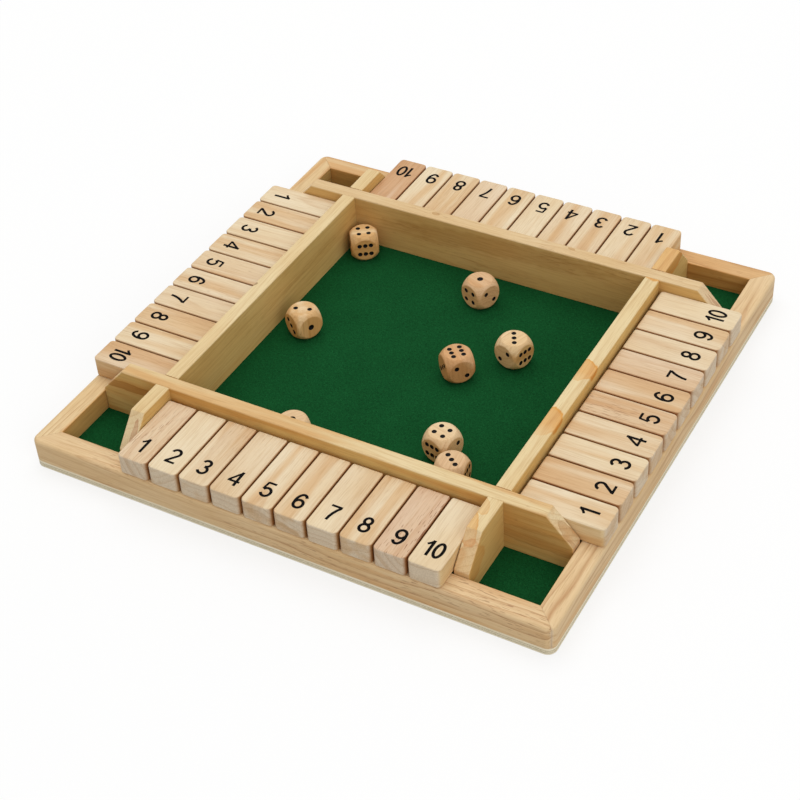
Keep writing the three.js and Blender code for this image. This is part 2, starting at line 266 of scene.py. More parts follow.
# Poplar plywood: pale dry face plies with faint grain along X, and between them a core ply that
# shows its end grain darker at the edge, parted by thin glue lines.
plywood = bpy.data.materials.new("poplar plywood")
tree = bare_tree(plywood)
place = add(tree, "ShaderNodeTexCoord").outputs["Object"]
grain_scale = (1 / PLY_GRAIN_LENGTH, 1 / PLY_GRAIN_WIDTH, 1 / PLY_GRAIN_WIDTH)
streaks = add(tree, "ShaderNodeMapping", {"Vector": place, "Scale": grain_scale})
face_noise = add(tree, "ShaderNodeTexNoise", {
    "Vector": streaks, "Scale": 1, "Detail": 3, "Roughness": 0.6})
face_colour = add(tree, "ShaderNodeValToRGB", {"Fac": face_noise}, [
    (0.3, PLY_FACE_PALE), (0.75, PLY_FACE_DARK)])
core_noise = add(tree, "ShaderNodeTexNoise", {
    "Vector": place, "Scale": 1 / PLY_GRAIN_WIDTH, "Detail": 2})
core_colour = add(tree, "ShaderNodeValToRGB", {"Fac": core_noise}, [
    (0.35, PLY_CORE_PALE), (0.65, PLY_CORE_DARK)])
height = add(tree, "ShaderNodeSeparateXYZ", {0: place}).outputs["Z"]
depth = add(tree, "ShaderNodeMath", {0: height, 1: high.z - low.z}, operation="DIVIDE")
glued = [ply / PLY_COUNT for ply in range(1, PLY_COUNT)]
is_core = add(tree, "ShaderNodeValToRGB", {"Fac": depth}, [(0, BLACK), *zip(glued, (WHITE, BLACK))])
is_glue = add(tree, "ShaderNodeValToRGB", {"Fac": depth}, [(0, BLACK), *(
    stop for joint in glued
    for stop in ((joint - PLY_GLUE_SHARE, WHITE), (joint + PLY_GLUE_SHARE, BLACK)))])
for mask in (is_core, is_glue):
    mask.color_ramp.interpolation = "CONSTANT"
wood = add(tree, "ShaderNodeMix", data_type="RGBA", sockets={
    0: is_core, 6: face_colour, 7: core_colour})
colour = add(tree, "ShaderNodeMix", data_type="RGBA", sockets={
    0: is_glue, 6: wood.outputs[2], 7: linear(PLY_GLUE)})
relief = add(tree, "ShaderNodeBump", {
    "Height": face_noise, "Strength": 0.3, "Distance": PLY_RELIEF})
surface = add(tree, "ShaderNodeBsdfPrincipled", {
    "Base Color": colour.outputs[2], "Roughness": 0.75, "Normal": relief})
add(tree, "ShaderNodeOutputMaterial", {"Surface": surface})

show("plywood_base", loft(panel_rings), plywood, "root", "plywood", "base_panel")

# Felt lining: one sheet of short-napped wool felt, dyed green and glued flat on the panel. It
# lies under the inner rails and stops just short of the frame.
FELT_CELL = 2.5 * MM
FELT_UNEVENNESS = 0.12 * MM
FELT_GREEN = "#0e4b24"
FELT_DARK = "#09381a"
FELT_PALE = "#1a5f32"
FELT_SHEEN = "#6fa883"
FELT_FIBRE = 0.9 * MM
FELT_NAP = 0.3 * MM
FELT_CLOUD = 25 * MM
FELT_CLOUD_SHARE = 0.1
FELT_WAVE = 6 * MM

# Wool felt: matted fibres in every direction, seen as fine flecks of lighter and darker dye under
# a soft nap that lifts the colour at grazing angles. Fibres are drawn thicker than life to show.
felt = bpy.data.materials.new("wool felt")
tree = bare_tree(felt)
place = add(tree, "ShaderNodeTexCoord").outputs["Object"]
fleck = add(tree, "ShaderNodeTexNoise", {
    "Vector": place, "Scale": 1 / FELT_FIBRE, "Detail": 4, "Roughness": 0.7, "Distortion": 1.5})
cloud = add(tree, "ShaderNodeTexNoise", {"Vector": place, "Scale": 1 / FELT_CLOUD, "Detail": 2})
blend = add(tree, "ShaderNodeMath", operation="MULTIPLY_ADD", sockets={
    0: cloud, 1: FELT_CLOUD_SHARE, 2: fleck})
colour = add(tree, "ShaderNodeValToRGB", {"Fac": blend}, [
    (0.4, FELT_DARK), (0.55, FELT_GREEN), (0.75, FELT_PALE)])
relief = add(tree, "ShaderNodeBump", {
    "Height": fleck, "Strength": 0.6, "Distance": FELT_NAP})
surface = add(tree, "ShaderNodeBsdfPrincipled", {
    "Base Color": colour, "Roughness": 0.95, "Sheen Weight": 0.02,
    "Sheen Roughness": 0.6, "Specular IOR Level": 0.06, "Normal": relief})
surface.inputs["Sheen Tint"].default_value = linear(FELT_SHEEN)
add(tree, "ShaderNodeOutputMaterial", {"Surface": surface})


def geometry_tree(name, sockets):
    """A geometry node tree with its group input node, its geometry first, then named inputs."""
    made = bpy.data.node_groups.new(name, "GeometryNodeTree")
    made.interface.new_socket("Geometry", in_out="OUTPUT", socket_type="NodeSocketGeometry")
    made.interface.new_socket("Geometry", in_out="INPUT", socket_type="NodeSocketGeometry")
    for socket, kind in sockets.items():
        made.interface.new_socket(socket, in_out="INPUT", socket_type="NodeSocket" + kind)
    return made, add(made, "NodeGroupInput").outputs


def grown(source, tree, **values):
    """The plain mesh that a geometry node tree makes of a mesh with these input values."""
    holder = bpy.data.objects.new("holder", source)
    bpy.context.scene.collection.objects.link(holder)
    modifier = holder.modifiers.new("tree", "NODES")
    modifier.node_group = tree
    for item in tree.interface.items_tree:
        if item.in_out == "INPUT" and item.name in values:
            modifier[item.identifier] = values[item.name]
    evaluated = holder.evaluated_get(bpy.context.evaluated_depsgraph_get())
    mesh = bpy.data.meshes.new_from_object(evaluated)
    bpy.data.objects.remove(holder)
    return mesh


tree, given = geometry_tree("laid felt", {
    "Size": "Vector", "Centre": "Vector", "Cells": "Int", "Rise": "Float", "Felt": "Material"})
slab = add(tree, "GeometryNodeMeshCube", {
    "Size": given["Size"], "Vertices X": given["Cells"], "Vertices Y": given["Cells"]})
point = add(tree, "GeometryNodeInputPosition")
above = add(tree, "ShaderNodeSeparateXYZ", {0: point}).outputs["Z"]
on_top = add(tree, "FunctionNodeCompare", {0: above, 1: 0.0}, operation="GREATER_THAN")
waves = add(tree, "ShaderNodeTexNoise", {"Vector": point, "Scale": 1 / FELT_WAVE, "Detail": 3})
rise = add(tree, "ShaderNodeMath", {0: waves, 1: given["Rise"]}, operation="MULTIPLY")
offset = add(tree, "ShaderNodeCombineXYZ", {"Z": rise})
uneven = add(tree, "GeometryNodeSetPosition", {
    "Geometry": slab.outputs["Mesh"], "Selection": on_top, "Offset": offset})
laid = add(tree, "GeometryNodeTransform", {
    "Geometry": uneven, "Translation": given["Centre"]})
real = add(tree, "GeometryNodeRealizeInstances", {"Geometry": laid})
dyed = add(tree, "GeometryNodeSetMaterial", {"Geometry": real, "Material": given["Felt"]})
add(tree, "NodeGroupOutput", {0: dyed})

low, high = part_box("felt_lining")
felt_mesh = grown(
    bpy.data.meshes.new("felt"), tree, Size=high - low, Centre=(low + high) / 2,
    Cells=round((high.x - low.x) / FELT_CELL), Rise=-FELT_UNEVENNESS, Felt=felt)
felt_piece = show("felt_sheet", felt_mesh, None, "root", "felt", "felt_lining", flat_width=0)

# Frame rails: four lengths of planed pine, mitred and glued into a square on the panel. The
# outer corners and the upper outer arris are rounded together, after the glue has set.
SIDES = ("near", "right", "far", "left")
FRAME_RAIL_WIDTH = 13.5 * MM
FRAME_CORNER_RADIUS = 5.5 * MM
FRAME_OUTER_ARRIS = 2.4 * MM
FRAME_INNER_ARRIS = 0.6 * MM
MITRE_GAP = 0.07 * MM


def sawn(mesh, along, heart, cast):
    """Store how a piece was sawn from its log: the fibres run along a direction, and the heart of
    the log passes at a distance in millimetres. Its cast is the piece's own colouring."""
    corners = [vertex.co for vertex in mesh.vertices]
    middle = Vector((min(c[i] for c in corners) + max(c[i] for c in corners)) / 2 for i in range(3))
    across = Vector((0, 0, 1) if abs(along.z) < 0.9 else (0, 1, 0)).cross(along).normalized()
    outwards = along.cross(across)
    for name, kind, domain in (
            ("log", "FLOAT_VECTOR", "POINT"), ("cast", "FLOAT_VECTOR", "POINT"),
            ("end", "FLOAT", "FACE")):
        mesh.attributes.new(name, kind, domain)
    places, casts, ends = (mesh.attributes[name].data for name in ("log", "cast", "end"))
    for corner, place, colouring in zip(corners, places, casts):
        point = (corner - middle) / MM
        place.vector = Vector(point.dot(axis) for axis in (along, across, outwards)) + Vector(heart)
        colouring.vector = cast
    for face, end in zip(mesh.polygons, ends):
        end.value = abs(face.normal.dot(along))
    return mesh


# What every pine piece shares. Lengths are millimetres in its log: how far the rings and the
# figures sway, and the length and width of what is drawn out along the fibres.
RING_SWAY = (0, 13, 13)
SWAY_STRETCH = (120, 34)
SEASONS_PER_MM = 0.11
SEASON_DRIFT = 2.4
TONGUE_STRETCH = (150, 9)
PATCH_STRETCH = (70, 16)
SHADE_STRETCH = (60, 22)
FIBRE_STRETCH = (16, 0.7)
FLECK_STRETCH = (5.5, 0.6)
FIGURE_SWAY = (5, 2.4, 2.4)
FIGURE_STRETCH = (7, 4)
PORES_PER_MM = 1.4
FIBRE_DEPTH = 0.12 * MM
RESIN_BROWN = "#94603c"
SHADE_TONE = "#f8f0e4"
PINK_TONE = "#f2e4e2"
# Painted shade: the deeper yellow of the sides and the brown of the narrow gaps between tiles.
SIDE_SHADE_TONE = "#f1e1b8"
GAP_SHADE_TONE = "#b4895c"
END_DARK = "#c9b8a2"
END_GREY = "#dac8b0"
END_PALE = "#e3d3bd"
END_LATE_TONE = "#dfc9ab"
END_HEART_TONE = "#f5e9d8"


def pine(name, pale, honey, late, ring, line_share, side_shade_share=0, end_share=0.8, figures=(),
         side_shade_tone=SIDE_SHADE_TONE):
    """Planed pine: pale early wood with late wood in rings round the heart of the log, which a
    long face cuts as lines and arches and an end as arcs. A ring is so many millimetres wide. A
    piece's cast says how pink it is, how much of it is honey-coloured and how many flecks show."""
    made = bpy.data.materials.new(name)
    tree = bare_tree(made)
    log, cast = (add(tree, "ShaderNodeAttribute", attribute_name=stored).outputs["Vector"]
                 for stored in ("log", "cast"))
    end, shaded_face, rubbed = (add(tree, "ShaderNodeAttribute", attribute_name=stored).outputs["Fac"]
                             for stored in ("end", "shaded_face", "rubbed"))
    pink, honeyed, flecked = add(tree, "ShaderNodeSeparateXYZ", {0: cast}).outputs

    def grain(stretch, detail=2, place=log):
        """Noise drawn out along the fibres."""
        length, width = stretch
        drawn = add(tree, "ShaderNodeMapping", {
            "Vector": place, "Scale": (1 / length, 1 / width, 1 / width)})
        return add(tree, "ShaderNodeTexNoise", {"Vector": drawn, "Scale": 1, "Detail": detail})

    def stained(wood, stain, *patterns, blend="MULTIPLY"):
        """The wood with a stain worked in as deep as all the patterns show together. A pattern
        can come with the two levels between which it shows, and its share at each of them."""
        depth = 1
        for pattern in patterns:
            if isinstance(pattern, tuple):
                pattern, low, high, least, most = pattern
                pattern = add(tree, "ShaderNodeMapRange", {
                    "Value": pattern, "From Min": low, "From Max": high,
                    "To Min": least, "To Max": most})
            depth = add(tree, "ShaderNodeMath", {0: depth, 1: pattern}, operation="MULTIPLY")
        return add(tree, "ShaderNodeMix", data_type="RGBA", blend_type=blend, sockets={
            0: depth, 6: wood, 7: stain}).outputs[2]

    # The trunk isn't straight, so the rings sway along it, and their years are wide or narrow.
    swayed = add(tree, "ShaderNodeVectorMath", operation="MULTIPLY_ADD", sockets={
        0: grain(SWAY_STRETCH).outputs["Color"], 1: RING_SWAY, 2: log})
    across = add(tree, "ShaderNodeVectorMath", {0: swayed, 1: (0, 1, 1)}, operation="MULTIPLY")
    radius = add(tree, "ShaderNodeVectorMath", {0: across}, operation="LENGTH").outputs["Value"]
    seasons = add(tree, "ShaderNodeTexNoise", noise_dimensions="1D", sockets={
        "W": radius, "Scale": SEASONS_PER_MM, "Detail": 1})
    drift = add(tree, "ShaderNodeMath", {0: seasons, 1: SEASON_DRIFT}, operation="MULTIPLY")
    years = add(tree, "ShaderNodeMath", operation="MULTIPLY_ADD", sockets={
        0: radius, 1: 1 / ring, 2: drift})
    season = add(tree, "ShaderNodeMath", {0: years}, operation="FRACT")
    lateness = add(tree, "ShaderNodeValToRGB", {"Fac": season}, [
        (0, BLACK), (0.5, "#2e2e2e"), (0.8, "#b4b4b4"), (0.93, WHITE), (1, "#1c1c1c")])

    # Heartwood is honey-coloured in long tongues, and lines come and go along the plank.
    heartwood = add(tree, "ShaderNodeMath", operation="MULTIPLY_ADD", sockets={
        0: honeyed, 1: 0.5, 2: grain(TONGUE_STRETCH, 1, swayed)})
    warm = (heartwood, 0.73, 0.91, 0, 1)
    wood = stained(linear(pale), linear(honey), warm, blend="MIX")
    patches = grain(PATCH_STRETCH, 1)
    wood = stained(
        wood, linear(late), lateness, (patches, 0.32, 0.66, 0.15, 1), line_share, blend="MIX")

    # Fibres, drawn about twice as thick as life, and short brown resin flecks in clusters.
    fibres = grain(FIBRE_STRETCH, 3)
    wood = stained(wood, add(tree, "ShaderNodeValToRGB", {"Fac": fibres}, [
        (0.3, "#f1eae0"), (0.55, WHITE), (0.8, "#fffdf8")]))
    wood = stained(
        wood, linear(RESIN_BROWN), (grain(FLECK_STRETCH, 0), 0.66, 0.74, 0, 1),
        (patches, 0.42, 0.62, 0.1, 0.9), flecked, blend="MIX")

    # A slow change of shade within the piece, and the pink of some planks.
    wood = stained(wood, linear(SHADE_TONE), (grain(SHADE_STRETCH, 1), 0.3, 0.7, 0, 1))
    wood = stained(wood, linear(PINK_TONE), pink)

    # Knots, tongues and bands of darker wood, and bands of painted shade: each has its tone within
    # a rim that is darker still, and a tongue fades towards its tail.
    wobble = add(tree, "ShaderNodeVectorMath", operation="MULTIPLY_ADD", sockets={
        0: grain(FIGURE_STRETCH, 1).outputs["Color"], 1: FIGURE_SWAY, 2: log})
    for centre, reach, (tilt, turn), tone, strength, tail in figures:
        branch = add(tree, "ShaderNodeMapping", vector_type="TEXTURE", sockets={
            "Vector": wobble, "Location": centre, "Scale": reach,
            "Rotation": (0, math.radians(tilt), math.radians(turn))})
        depth = add(tree, "ShaderNodeVectorMath", {0: branch}, operation="LENGTH").outputs["Value"]
        shown = add(tree, "ShaderNodeValToRGB", {"Fac": depth}, [
            (0.5, "#d0d0d0"), (0.8, "#dcdcdc"), (0.9, WHITE), (0.97, BLACK)])
        ahead = add(tree, "ShaderNodeSeparateXYZ", {0: branch}).outputs["X"]
        wood = stained(wood, linear(tone), shown, strength, (ahead, -0.95, -0.1, 1 - tail, 1))

    # Painted shade: the sides, and faces marked as shaded, are stained a deeper yellow than the
    # tops, and sides that face a neighbour across a narrow gap are stained brown as painted shade
    # there.
    facing = add(tree, "ShaderNodeNewGeometry").outputs["Normal"]
    up = add(tree, "ShaderNodeSeparateXYZ", {0: facing}).outputs["Z"]
    side_shade = add(tree, "ShaderNodeMapRange", {
        "Value": up, "From Min": 0.5, "From Max": 0.1, "To Max": side_shade_share})
    side_shaded = add(tree, "ShaderNodeMath", {0: side_shade, 1: shaded_face}, use_clamp=True)
    wood = stained(wood, linear(side_shade_tone), side_shaded)
    wood = stained(wood, linear(GAP_SHADE_TONE), (rubbed, 0.15, 1, 0, 1))

    # End grain is greyer, with darker arcs of late wood, and speckled where fibres are cut across.
    pores = add(tree, "ShaderNodeTexNoise", {"Vector": log, "Scale": PORES_PER_MM, "Detail": 3})
    cut = add(tree, "ShaderNodeValToRGB", {"Fac": pores}, [
        (0.3, END_DARK), (0.5, END_GREY), (0.7, END_PALE)])
    cut = stained(cut, linear(END_LATE_TONE), lateness, 0.5)
    cut = stained(cut, linear(END_HEART_TONE), warm)
    wood = stained(wood, cut, (end, 0.5, 0.9, 0, end_share), blend="MIX")

    relief = add(tree, "ShaderNodeBump", {
        "Height": fibres, "Strength": 0.25, "Distance": FIBRE_DEPTH})
    rough = add(tree, "ShaderNodeMapRange", {"Value": fibres, "To Min": 0.52, "To Max": 0.7})
    surface = add(tree, "ShaderNodeBsdfPrincipled", {
        "Base Color": wood, "Roughness": rough, "Specular IOR Level": 0.3, "Normal": relief})
    add(tree, "ShaderNodeOutputMaterial", {"Surface": surface})
    return made


def frame_rail(reach, bottom, top):
    """The near rail of the frame, through sections from mitre to mitre. The last of them turn
    round the board's corners, which only the outer part of a section does."""
    outer, inner, width = FRAME_OUTER_ARRIS, FRAME_INNER_ARRIS, FRAME_RAIL_WIDTH
    section = [
        *arc((outer, top - outer), outer, 180, 90),
        *arc((width - inner, top - inner), inner, 90, 0, 3),
        (width, bottom),
        (0, bottom),
    ]
    rings = []
    for side in (-1, 1):
        for step in range(ROUND_STEPS + 1)[::side]:
            angle = math.radians(45 * step / ROUND_STEPS)
            gap = MITRE_GAP if step == ROUND_STEPS else 0
            ring = []
            for depth, z in section:
                radius = FRAME_CORNER_RADIUS - depth
                centre = reach - FRAME_CORNER_RADIUS
                if radius > 0:
                    x = centre + radius * math.sin(angle) - gap
                    y = -centre - radius * math.cos(angle)
                else:
                    x = reach - depth - MITRE_GAP
                    y = depth - reach
                ring.append((side * x, y, z))
            rings.append(ring)
    return loft(rings)


# Planed pine of the frame: strong brown lines of late wood on straw-coloured early wood.
frame_pine = pine(
    "planed pine of the frame", pale="#ead0a3", honey="#deb47e", late="#b8834e", ring=4,
    line_share=0.68)
# How each rail was sawn: where the heart of its log lies in millimetres, and its cast.
FRAME_SAWING = {
    "near": ((0, 30, -36), (0.3, 0.3, 0.6)),
    "right": ((420, -48, 30), (0.3, 0.3, 0.2)),
    "far": ((900, 22, 44), (0.1, 0.9, 0.2)),
    "left": ((1350, -34, -30), (0, 0.4, 0.2)),
}
low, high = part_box("outer_frame")
for index, side in enumerate(SIDES):
    turn = Matrix.Rotation(index * math.pi / 2, 4, "Z")
    mesh = frame_rail(high.x, low.z, high.z)
    mesh.transform(turn)
    heart, cast = FRAME_SAWING[side]
    sawn(mesh, turn @ Vector((1, 0, 0)), heart, cast)
    # Painted shade: the faces that look inwards, into the board, are marked to take the deeper
    # yellow of shaded sides.
    inward = turn @ Vector((0, 1, 0))
    shaded_face = mesh.attributes.new("shaded_face", "FLOAT", "FACE").data
    for face, face_shade in zip(mesh.polygons, shaded_face):
        face_shade.value = max(face.normal.dot(inward), 0)
    show(f"frame_rail_{side}", mesh, frame_pine, "root", "pine_rail", "outer_frame")

# Inner rails: four planed pine boards on edge, glued on the felt and halved over each other
# where they cross. Their ends slope down over the frame, and past each crossing a hole takes the
# end of a hinge rod: a blind socket in the near and right rails, and right through in the others.
SLOPE_LENGTH = 15.8 * MM
SLOPE_TOP_RADIUS = 1.2 * MM
NOSE_HEIGHT = 15.8 * MM
NOSE_RADIUS = 2 * MM
INNER_RAIL_ARRIS = 0.8 * MM
HALVING_GAP = 0.1 * MM
ROD_DISTANCE = 121 * MM
ROD_HEIGHT = 26.3 * MM
ROD_HOLE_RADIUS = 1.7 * MM
ROD_SOCKET_DEPTH = 6 * MM
DRILL_STEPS = 32
CUT_OVERRUN = 1 * MM
LEVEL_WITHIN = 0.01 * MM


def rounded(corners, steps=6):
    """A counter-clockwise outline through corners, each given with its radius."""
    points = []
    for i, (x, y, radius) in enumerate(corners):
        tip = Vector((x, y))
        back = (Vector(corners[i - 1][:2]) - tip).normalized()
        ahead = (Vector(corners[(i + 1) % len(corners)][:2]) - tip).normalized()
        half = back.angle(ahead) / 2
        centre = tip + (back + ahead).normalized() * radius / math.sin(half)
        start = tip + back * radius / math.tan(half) - centre
        for step in range(steps + 1 if radius else 1):
            turn = Matrix.Rotation((math.pi - 2 * half) * step / steps, 2)
            points.append(centre + turn @ start)
    return points


def block(low, high):
    """A square cutter from corner to corner, for a slot."""
    (left, near, bottom), (right, far, top) = low, high
    return loft([[(left, near, z), (right, near, z), (right, far, z), (left, far, z)]
                 for z in (bottom, top)])


def round_bar(start, end, radius, ease=0, steps=DRILL_STEPS):
    """A drill or a rod from one point to another, with its ends eased."""
    along = (end - start).normalized()
    side = along.orthogonal().normalized()
    other = along.cross(side)
    length = (end - start).length
    rings = []
    for distance, inset in eased(length, ease) if ease else ((0, 0), (length, 0)):
        rings.append([start + along * distance + (radius - inset) * (
            math.cos(2 * math.pi * i / steps) * side + math.sin(2 * math.pi * i / steps) * other)
            for i in range(steps)])
    return loft(rings)


def less(mesh, cutters):
    """What is left of a mesh once each cutter's room is taken out of it."""
    blank = bpy.data.objects.new("blank", mesh)
    bpy.context.scene.collection.objects.link(blank)
    tools = [bpy.data.objects.new("tool", cutter) for cutter in cutters]
    for tool in tools:
        bpy.context.scene.collection.objects.link(tool)
        cut = blank.modifiers.new("cut", "BOOLEAN")
        cut.solver = "EXACT"
        cut.object = tool
    evaluated = blank.evaluated_get(bpy.context.evaluated_depsgraph_get())
    left = bpy.data.meshes.new_from_object(evaluated)
    for made in (blank, *tools):
        bpy.data.objects.remove(made)
    return cleaned(left)


def inner_rail(low, high, side):
    """The inner rail of a side, lying along X as the near one does. The near and far rails are
    slotted from below and lie over the others, and the near and right ones have blind sockets."""
    reach, top, nose = high.x, high.z, low.z + NOSE_HEIGHT
    side_view = rounded([
        (-reach, low.z, 0),
        (reach, low.z, 0),
        (reach, nose, NOSE_RADIUS),
        (reach - SLOPE_LENGTH, top, SLOPE_TOP_RADIUS),
        (SLOPE_LENGTH - reach, top, SLOPE_TOP_RADIUS),
        (-reach, nose, NOSE_RADIUS),
    ])
    board = loft([[(x, y, z) for x, z in side_view] for y in (low.y, high.y)])
    work = bmesh.new()
    work.from_mesh(board)
    long_edges = [
        edge for edge in work.edges
        if abs(edge.verts[0].co.y - edge.verts[1].co.y) < LEVEL_WITHIN
        and max(vertex.co.z for vertex in edge.verts) > low.z + LEVEL_WITHIN
    ]
    bmesh.ops.bevel(
        work, geom=long_edges, offset=INNER_RAIL_ARRIS, segments=4, profile=0.5, affect="EDGES")
    work.to_mesh(board)
    work.free()

    middle = (low.z + high.z) / 2
    half_slot = (high.y - low.y) / 2 + HALVING_GAP
    crossing = -(low.y + high.y) / 2
    floor, roof = middle - HALVING_GAP, high.z + CUT_OVERRUN
    if side in ("near", "far"):
        floor, roof = low.z - CUT_OVERRUN, middle + HALVING_GAP
    hole_end = low.y - CUT_OVERRUN
    if side in ("near", "right"):
        hole_end = high.y - ROD_SOCKET_DEPTH
    cutters = []
    for end in (-1, 1):
        cutters.append(block(
            (end * crossing - half_slot, low.y - CUT_OVERRUN, floor),
            (end * crossing + half_slot, high.y + CUT_OVERRUN, roof)))
        x = end * ROD_DISTANCE
        cutters.append(round_bar(
            Vector((x, hole_end, ROD_HEIGHT)), Vector((x, high.y + CUT_OVERRUN, ROD_HEIGHT)),
            ROD_HOLE_RADIUS))
    return less(board, cutters)


INNER_SAWING = {
    "near": ((0, 40, 50), (0.1, 0.66, 0.2)),
    "right": ((500, 26, 62), (0, 0.2, 0.1)),
    "far": ((1000, -66, 24), (0.6, 0, 0.3)),
    "left": ((1500, 35, -70), (0.1, 0.2, 0.1)),
}
# Tones of the rails' figures: the amber and the umber serve for real figures and for painted shade
# in the corner pockets.
AMBER_AND_POCKET_SHADE = "#f3c070"
UMBER_AND_POCKET_SHADE = "#d3b894"
ROSE = "#ca9474"
KNOT_BROWN = "#8f6a45"
# Each figure: its rail, its middle along, across and up from the rail's own, its reach in the
# same directions, its tilt and turn, its tone, how strongly it shows and how much its tail fades.
RAIL_FIGURES = [
    ("right", (4.5, 5, 17), (10.5, 12, 9), (0, 0), AMBER_AND_POCKET_SHADE, 1, 0.6),
    ("right", (-44, 5, 17), (14, 12, 9), (0, 0), AMBER_AND_POCKET_SHADE, 1, 0.9),
    ("right", (122, 0, 17), (24, 12, 12), (0, 0), AMBER_AND_POCKET_SHADE, 0.9, 0),
    ("right", (-132, 5, 14), (16, 6, 8), (0, 22), AMBER_AND_POCKET_SHADE, 0.8, 0),
    ("right", (-117, 4, 17), (9, 3.4, 6), (0, 28), AMBER_AND_POCKET_SHADE, 0.5, 0),
    # Painted shade: the amber band at the right rail's near end and the three umber bands at the
    # near rail's ends darken the outer faces in the corner pockets, where shade falls.
    ("right", (-150, -1, 2), (20, 7, 15), (0, 0), AMBER_AND_POCKET_SHADE, 0.5, 0),
    ("near", (160, -6, -3), (80, 6, 7), (0, 0), UMBER_AND_POCKET_SHADE, 0.5, 0),
    ("near", (149, 0, 1), (15, 4.6, 14), (0, 0), UMBER_AND_POCKET_SHADE, 0.9, 0),
    ("near", (-160, -6, 6), (80, 5, 3.5), (0, 0), UMBER_AND_POCKET_SHADE, 0.9, 0),
    ("far", (0, 24, 7), (190, 23, 16), (2, 0), UMBER_AND_POCKET_SHADE, 0.42, 0),
    ("far", (45, -0.8, 17), (3.5, 1.3, 3), (0, 0), UMBER_AND_POCKET_SHADE, 0.9, 0),
    ("far", (-50, -2.2, 17), (3, 1, 3), (0, 0), UMBER_AND_POCKET_SHADE, 0.9, 0),
    ("left", (-40, 12, 2), (150, 9, 4), (2, 0), UMBER_AND_POCKET_SHADE, 0.28, 0),
    ("far", (-149, -1.4, 2), (14, 1.2, 14), (0, 0), ROSE, 0.95, 0),
    ("far", (-145, 1, 8), (8, 0.9, 8), (0, 0), ROSE, 0.6, 0),
    ("left", (149, 1.9, 0), (16, 1.9, 20), (0, 0), ROSE, 0.8, 0),
    ("left", (6, -3.6, 17), (1.6, 1.1, 3), (0, 0), KNOT_BROWN, 1, 0),
]

# Planed pine of the inner rails: close soft lines, sides stained a deeper yellow as painted shade,
# and tongues of amber, brown and rose where the boards have them, with bands of painted shade on
# the outer faces at the corner pockets. Half of the figures' sway, its average, is added to their
# centres so that they stay in place.
inner_pine = pine(
    "planed pine of the inner rails", pale="#e9d4a5", honey="#dfb981", late="#c79b62", ring=3.4,
    line_share=0.4, side_shade_share=1, end_share=0.34, figures=[
        (Vector(middle) + Vector(INNER_SAWING[side][0]) + Vector(FIGURE_SWAY) / 2, *figure)
        for side, middle, *figure in RAIL_FIGURES])
low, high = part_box("inner_rail_near")
for index, side in enumerate(SIDES):
    turn = Matrix.Rotation(index * math.pi / 2, 4, "Z")
    mesh = inner_rail(low, high, side)
    mesh.transform(turn)
    heart, cast = INNER_SAWING[side]
    sawn(mesh, turn @ Vector((1, 0, 0)), heart, cast)
    show(f"halved_rail_{side}", mesh, inner_pine, "root", "pine_rail", f"inner_rail_{side}")

# Hinge rods: four drawn steel wires, cut to length with their ends eased. Each is pushed through
# an open hole, along the bores of ten tiles and into the socket at the other end.
ROD_RADIUS = 1.5 * MM
ROD_END_EASE = 0.3 * MM
STEEL = "#b9bbbd"
DRAWING_LINES = 0.25 * MM
DRAWING_DEPTH = 0.02 * MM

# Drawn steel wire: bright, with fine lines along its length, drawn wider than life to show.
steel = bpy.data.materials.new("drawn steel wire")
tree = bare_tree(steel)
place = add(tree, "ShaderNodeTexCoord").outputs["Object"]
lines = add(tree, "ShaderNodeTexNoise", {"Vector": place, "Scale": 1 / DRAWING_LINES, "Detail": 2})
rough = add(tree, "ShaderNodeMapRange", {"Value": lines, "To Min": 0.28, "To Max": 0.42})
relief = add(tree, "ShaderNodeBump", {
    "Height": lines, "Strength": 0.1, "Distance": DRAWING_DEPTH})
surface = add(tree, "ShaderNodeBsdfPrincipled", {
    "Base Color": linear(STEEL), "Metallic": 1, "Roughness": rough, "Normal": relief})
add(tree, "ShaderNodeOutputMaterial", {"Surface": surface})

for side in SIDES:
    low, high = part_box(f"hinge_rod_{side}")
    middle = (low + high) / 2
    half = Vector(((high.x - low.x) / 2, 0, 0)) if side in ("near", "far") else Vector(
        (0, (high.y - low.y) / 2, 0))
    mesh = round_bar(middle - half, middle + half, ROD_RADIUS, ROD_END_EASE)
    show(f"steel_rod_{side}", mesh, steel, "root", "rod_steel", f"hinge_rod_{side}")

# Number tiles: forty pine blocks, planed, crosscut and eased, with a bore across the back end for
# the rod. The upper back arris is rounded to turn past the rail, and a numeral is printed on top.
TILE_COUNT = 10
TILE_LENGTH = 52.8 * MM
TILE_THICKNESS = 12.8 * MM
TILE_ARRIS = 0.8 * MM
TILE_CORNER = 3 * MM
TILE_BACK_ROUND = 1.8 * MM
TILE_BACK_DEPTH = 5.5 * MM
ROD_SETBACK = 9 * MM
BORE_RADIUS = 1.65 * MM
CAP_HEIGHT = 11.5 * MM
NUMERAL_FOOT = 7.5 * MM
NUMERAL_WIDTH = 0.92
TEN_WIDTH = 0.8
STROKE = 0.15
INK_DEPTH = 0.04 * MM
INK_GRAIN = 0.5 * MM
INK_BLACK = "#050505"
INK_WORN = "#0e0c0b"
CORNER_STEPS = 12


